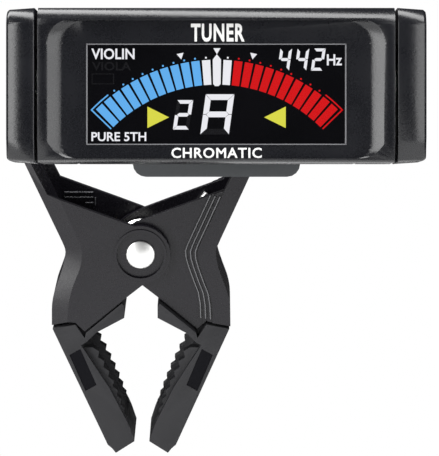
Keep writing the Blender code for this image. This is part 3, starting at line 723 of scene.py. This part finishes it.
def digit(low_x, high_x, low_z, high_z, thick, lean, lit):
    """Segments of a seven segment digit that fills a box, leaning to the right."""
    wide, tall, gap = high_x - low_x - lean, high_z - low_z, 0.05
    half, t = tall / 2, thick
    shapes = {
        "a": ((gap, tall), (wide - gap, tall), (wide - t, tall - t), (t, tall - t)),
        "b": (
            (wide, tall - gap), (wide, half + gap), (wide - t * 0.5, half + gap),
            (wide - t, half + t * 0.5), (wide - t, tall - t - gap),
        ),
        "c": (
            (wide, half - gap), (wide, gap), (wide - t, t + gap),
            (wide - t, half - t * 0.5), (wide - t * 0.5, half - gap),
        ),
        "d": ((gap, 0), (wide - gap, 0), (wide - t, t), (t, t)),
        "e": ((0, half - gap), (0, gap), (t, t + gap), (t, half - t * 0.5), (t * 0.5, half - gap)),
        "f": (
            (0, tall - gap), (0, half + gap), (t * 0.5, half + gap),
            (t, half + t * 0.5), (t, tall - t - gap),
        ),
        "g": (
            (t + gap, half + t * 0.5), (wide - t - gap, half + t * 0.5),
            (wide - t * 0.5 - gap, half), (wide - t - gap, half - t * 0.5),
            (t + gap, half - t * 0.5), (t * 0.5 + gap, half),
        ),
    }
    return [
        mark([(low_x + x + lean * z / tall, low_z + z) for x, z in shapes[name]]) for name in lit
    ]


# Digits: the box each fills, the thickness of its segments and its lean
NOTE = (-2.75, 3.1, -8.25, -1.35, 0.98, 0.95)
OCTAVE = (-7.45, -3.95, -7.4, -2.35, 0.62, 0.75)
on_display("note_name", together(digit(*NOTE, "abcefg")), glow_white)
on_display("octave", together(digit(*OCTAVE, "abged")), glow_white)
reference = []
for low_x, lit in ((10.45, "bcfg"), (13.4, "bcfg"), (16.2, "abged")):
    reference += digit(low_x, low_x + 2.55, 2.7, 6.5, 0.5, 0.55, lit)
reference += [word_mark("Hz", 18.95, 21.55, 3.6, 5.5)]
on_display("reference_pitch", together(reference), glow_white)
arrows = [
    mark([(-11.8, -3.46), (-8.1, -5.3), (-11.8, -7.14)]),
    mark([(11.9, -3.46), (8.2, -5.3), (11.9, -7.14)]),
]
on_display("arrows", together(arrows), glow_yellow)
words = [
    word_mark("VIOLIN", -21.4, -14.0, 4.63, 6.5), word_mark("PURE 5TH", -21.4, -12.0, -9.4, -7.85)
]
on_display("instrument_words", together(words), glow_white)

# Marks that are not lit: segments, a word and the outline of a cell
cell_lines = (
    (-21.2, 0.35, -17.7, 0.5), (-21.2, 2.05, -17.7, 2.2),
    (-21.35, 0.35, -21.2, 2.2), (-17.7, 0.35, -17.5, 2.2),
)
unlit_cell = [mark(rectangle(*line)) for line in cell_lines]
unlit = [
    *digit(*NOTE, "d"), *digit(*OCTAVE, "cf"),
    word_mark("VIOLA", -21.3, -14.6, 2.7, 4.2), *unlit_cell,
]
on_display("unlit_marks", together(unlit), unlit_mark)

LABEL_FRONT, LABEL_BACK = DISH_FLOOR_Y - 0.03, DISH_FLOOR_Y + 0.05
label = lettering("TUNER", -4.35, 4.85, 7.65, 10.75, 0.03, LABEL_FRONT, LABEL_BACK, 1.12)
on_display("top_label", label, label_ink)
label = lettering("CHROMATIC", -7.7, 7.8, -12.3, -10.5, 0.02, LABEL_FRONT, LABEL_BACK, 1.1)
on_display("bottom_label", label, label_ink)

# A printed line round the window
rim = 0.24
rim_strips = [
    rectangle(-WINDOW_HALF - 0.1, WINDOW_BOTTOM, -WINDOW_HALF + rim - 0.1, WINDOW_TOP),
    rectangle(WINDOW_HALF - rim + 0.1, WINDOW_BOTTOM, WINDOW_HALF + 0.1, WINDOW_TOP),
    rectangle(-WINDOW_HALF - 0.1, WINDOW_BOTTOM - 0.12, WINDOW_HALF + 0.1, WINDOW_BOTTOM + 0.06),
    rectangle(-WINDOW_HALF - 0.1, WINDOW_TOP - 0.06, WINDOW_HALF + 0.1, WINDOW_TOP + 0.12),
]
window_rim = together([plate(strip, GLASS_Y - 0.02, GLASS_Y + 0.3) for strip in rim_strips])
on_display("window_rim", window_rim, rim_ink, 0.0)

# Grip ribs and an arrow on the battery cover's back
rib = softened(plate(rectangle(-9.0, -9.2, 9.0, -8.75), COVER_BACK, 9.68), 0.12)
ribs = repeated(rib, case_plastic, 6, step=(0, 0, 1.15))
piece("cover_ribs", placed(ribs, DISPLAY), case_plastic, "cover")
arrow = softened(plate([(-1.6, 0.6), (1.6, 0.6), (0, -1.7)], COVER_BACK, 9.66), 0.1)
piece("cover_arrow", placed(arrow, DISPLAY), case_plastic, "cover")

# Keys, each with a printed mark in a shallow recess
KEY_MARKS = {
    "mode": [arc(0, 0, 0.42, 0, 330, 11)],
    "pitch_down": [rectangle(-0.68, -0.12, 0.68, 0.12)],
    "pitch_up": [
        rectangle(-0.68, -0.12, 0.68, 0.12),
        rectangle(-0.12, 0.13, 0.12, 0.58), rectangle(-0.12, -0.58, 0.12, -0.13),
    ],
    "power": [
        arc(0, 0, 0.55, 120, -120, 14) + arc(0, 0, 0.38, -120, 120, 14),
        rectangle(-0.09, 0.15, 0.09, 0.62),
    ],
}
RECESS_HALF_X, RECESS_HALF_Y = 2.4, 0.72
for name, x in BUTTON_XS.items():
    edges = rectangle(
        x - RECESS_HALF_X, BUTTON_Y - RECESS_HALF_Y, x + RECESS_HALF_X, BUTTON_Y + RECESS_HALF_Y
    )
    recess = plate(edges, BUTTON_TOP - 0.12, BUTTON_TOP + 0.5, "XY")
    refined(f"{name}_button", clip_plastic, 0.06, [placed(recess, DISPLAY)])
    shapes = [[(x + a, BUTTON_Y + b) for a, b in shape] for shape in KEY_MARKS[name]]
    marks = together([plate(shape, BUTTON_TOP - 0.2, BUTTON_TOP - 0.09, "XY") for shape in shapes])
    piece(f"{name}_mark", placed(marks, DISPLAY), mark_ink, f"{name}_key")

# ---------------------------------------------------------------- yoke and clip
refined("yoke_bracket", yoke_plastic, 0.3)
refined("swivel_mount", clip_plastic, 0.3)
refined("swivel_washer", soft_grey_plastic, 0.06)
refined("swivel_screw", screw_steel, 0.12)
refined("swivel_nut", nut_brass, 0.12)
refined("mount_screw_1", screw_steel, 0.08)
refined("mount_screw_2", screw_steel, 0.08)
refined("pin_ring", screw_steel, 0.08)
refined("moving_lever", clip_plastic, 0.1, angle=13.0, crisp=True)
refined("fixed_lever", clip_plastic, 0.1, angle=13.0, crisp=True)


def across_clip(points, sign):
    return [(-sign * a, c) for a, c in points]


def on_clip(name, mesh, finish, body):
    return piece(name, placed(mesh, CLIP), finish, body)


for body, sign in (("moving_jaw", -1), ("fixed_jaw", 1)):
    recess = plate(across_clip(GRIP_PATCH, sign), -0.5, 0.22)
    refined(f"{body}_boot", grip_rubber, 0.14, [placed(recess, CLIP)])
    # The darker patch in the recess is painted shade.
    patch = softened(plate(across_clip(GRIP_PATCH, sign), 0.12, 0.3), 0.05)
    on_clip(f"{body}_patch", patch, patch_rubber, body)


def pin_disc(radius, front, back, sides=48):
    """A round plate about the pin."""
    turns = [2 * math.pi * i / sides for i in range(sides)]
    return loft([
        [(radius * math.cos(turn), depth, radius * math.sin(turn)) for turn in turns]
        for depth in (front, back)
    ])


# The pin's head has a fine groove near its rim
groove, ridge = pin_disc(2.28, -0.32, -0.6), pin_disc(2.16, -0.2, -0.7)
refined("pivot_pin", pin_steel, 0.1, [placed(carved(groove, [ridge]), CLIP)])


# Beads along the steps between the fixed lever's rim and its cheek: real steps, in the pale
# plastic, whose colour is a painted highlight along the step edges
STEP_LINE = (
    (-18.1, 11.0), (-13.9, 1.7), (-13.5, 0.5), (-13.6, -0.8), (-14.05, -2.45),
    (-15.0, -5.2), (-15.85, -7.45), (-16.2, -9.7), (-16.3, -12.4),
)
BEAD_WIDE = 0.16


def bead(inset, front, back):
    """A thin strip that follows the lever's edge at a distance in from it."""
    line = [(a + inset, c) for a, c in STEP_LINE]
    back_line = [(a + BEAD_WIDE, c) for a, c in reversed(line)]
    return plate(across_clip(line + back_line, 1), front, back)


beads = [bead(3.3, 0.16, 0.9), bead(4.2, 0.66, 1.4), bead(5.1, 1.16, 1.8)]
on_clip("fixed_lever_beads", together(beads), highlight_plastic, "fixed_jaw")

# Low ribs on the moving lever's back cheek, by the spring's end, in the pale plastic: real ribs
# whose light colour is a painted highlight on their top-lit edges
SEAT_RIBS = [
    rectangle(-14.6, 8.9, -9.2, 9.1), rectangle(-14.6, 7.95, -9.2, 8.15),
    rectangle(-10.7, 6.9, -9.2, 7.1), rectangle(-8.9, 6.5, -8.7, 8.0),
]
ribs = together([softened(plate(rib, 12.2, 12.8), 0.05) for rib in SEAT_RIBS])
on_clip("spring_seat_ribs", ribs, highlight_plastic, "moving_jaw")


def tangent(leg, side):
    """The angle about the pin where a leg meets the coil."""
    return math.atan2(leg[1], leg[0]) + side * math.acos(COIL_R / math.hypot(*leg))


def spring():
    """Wire wound round the pin, with a leg out to each handle."""
    start, end = tangent(LEFT_LEG, 1), tangent(RIGHT_LEG, -1) + 2 * math.pi * COIL_TURNS
    steps = round((end - start) / (2 * math.pi) * 32)
    coil = []
    for i in range(steps + 1):
        turn = start + (end - start) * i / steps
        depth = COIL_FROM + (COIL_TO - COIL_FROM) * i / steps
        coil.append(Vector((COIL_R * math.cos(turn), depth, COIL_R * math.sin(turn))))
    left = Vector((LEFT_LEG[0], COIL_FROM, LEFT_LEG[1]))
    right = Vector((RIGHT_LEG[0], COIL_TO, RIGHT_LEG[1]))
    points = [left.lerp(coil[0], i / 8) for i in range(8)] + coil
    points += [coil[-1].lerp(right, i / 8) for i in range(1, 9)]
    curve = bpy.data.curves.new("spring", "CURVE")
    curve.dimensions = "3D"
    curve.bevel_depth, curve.bevel_resolution, curve.use_fill_caps = WIRE_R, 3, True
    spline = curve.splines.new("POLY")
    spline.points.add(len(points) - 1)
    for point, spot in zip(spline.points, points):
        point.co = (*spot, 1.0)
    mesh = settled(working(curve))
    mesh.shade_smooth()
    return placed(mesh, CLIP)


wire = bpy.data.objects.new("torsion_spring_wound", spring())
wire.data.materials.append(drawn_steel.material)
bpy.context.scene.collection.objects.link(wire)
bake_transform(wire)
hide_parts("torsion_spring")


# ---------------------------------------------------------------- floor, light and camera
def softbox(name, place, aim, size, radiance):
    """A rectangular soft light that faces a point."""
    data = bpy.data.lights.new(name, "AREA")
    data.shape, (data.size, data.size_y) = "RECTANGLE", size
    data.energy = radiance * 4 * size[0] * size[1]
    light = bpy.data.objects.new(name, data)
    light.location = place
    light.rotation_euler = (Vector(aim) - Vector(place)).to_track_quat("-Z", "Y").to_euler()
    bpy.context.scene.collection.objects.link(light)


MIDDLE = Vector((0.0127, -0.03, 0.035))  # where the lights aim; the floor is centred on it
FLOOR_R, FLOOR_LOW, FLOOR_HIGH = 0.3, -0.062, -0.06
softbox("overhead", MIDDLE + Vector((-0.04, -0.07, 0.4)), MIDDLE, (1.0, 0.24), 13.0)
softbox("left", MIDDLE + Vector((-0.42, -0.42, 0.05)), MIDDLE, (0.3, 0.5), 10.0)
softbox("right", MIDDLE + Vector((0.42, -0.42, 0.05)), MIDDLE, (0.3, 0.5), 6.0)

rim_points = arc(0, 0, FLOOR_R, 0, 355, 71)
disc = plate([(MIDDLE.x + x, MIDDLE.y + y) for x, y in rim_points], FLOOR_LOW, FLOOR_HIGH, "XY")
floor = bpy.data.objects.new("floor", disc)
floor_paper = Finish("pale_paper", Specular_IOR_Level=0.2)
_fibre = floor_paper.grain(2.0, 5.0)
floor_paper.vary(
    Base_Color=floor_paper.blended(_fibre, (0.8, 0.8, 0.8, 1), (0.84, 0.84, 0.84, 1)),
    Roughness=0.8 + _fibre * 0.1,
)
floor.data.materials.append(floor_paper.material)
bpy.context.scene.collection.objects.link(floor)

# The world is white to the camera and nearly dark to the object
world = bpy.data.worlds.new("studio")
world.use_nodes = True
bpy.context.scene.world = world
studio = Graph(world.node_tree)
world.node_tree.nodes.clear()
seen = studio.node("ShaderNodeLightPath", output="Is Camera Ray")
white = {"Color": (1, 1, 1, 1), "Strength": seen * 0.95 + 0.05}
glow = studio.node("ShaderNodeBackground", None, white)
end = world.node_tree.nodes.new("ShaderNodeOutputWorld")
world.node_tree.links.new(glow.socket, end.inputs["Surface"])

lens = bpy.data.cameras.new("camera")
lens.sensor_fit, lens.sensor_width, lens.lens = "HORIZONTAL", 36.0, 215.9
lens.clip_start, lens.clip_end = 0.05, 10.0
camera = bpy.data.objects.new("camera", lens)
camera.location = DISPLAY @ Vector((0.55, -459.5, -24.57))
camera.rotation_euler = (math.pi / 2, 0, 0)
bpy.context.scene.collection.objects.link(camera)
bpy.context.scene.camera = camera
bpy.context.scene.view_settings.view_transform = "Standard"
